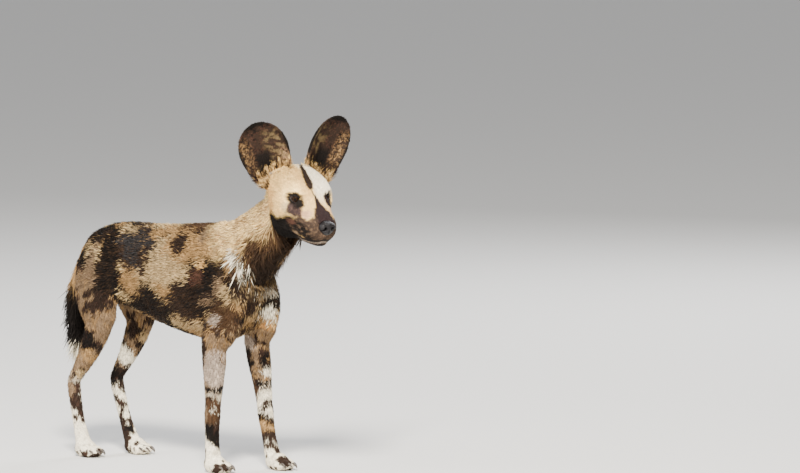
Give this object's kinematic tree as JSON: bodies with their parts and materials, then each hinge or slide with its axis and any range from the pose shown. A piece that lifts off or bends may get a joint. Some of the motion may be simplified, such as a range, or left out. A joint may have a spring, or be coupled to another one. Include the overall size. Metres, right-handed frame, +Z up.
{
  "type": "african wild dog",
  "caption": "Life-size still model of an African wild dog standing with its head turned a little to its right, round ears raised and tail hanging",
  "frame": {"origin": "middle of the bottom of the bounding box, on the ground under the chest", "axes": "+X the way the body faces, +Y the dog's left side, +Z up"},
  "size_m": [0.9642, 0.2902, 0.8679],
  "materials": {
    "coat": "short coarse coat blotched black, tan and white",
    "ear_coat": "very short dark hair",
    "nose_skin": "moist pebbled black skin",
    "eye": "polished dark brown eye",
    "claw": "dark horn"
  },
  "bodies": {
    "root": {"head": "coat", "nose": "nose_skin", "ear_left": "ear_coat", "ear_right": "ear_coat", "eye_left": "eye", "eye_right": "eye", "neck": "coat", "torso": "coat", "tail": "coat", "foreleg_left": "coat", "foreleg_right": "coat", "hindleg_left": "coat", "hindleg_right": "coat"}
  },
  "joints": []
}
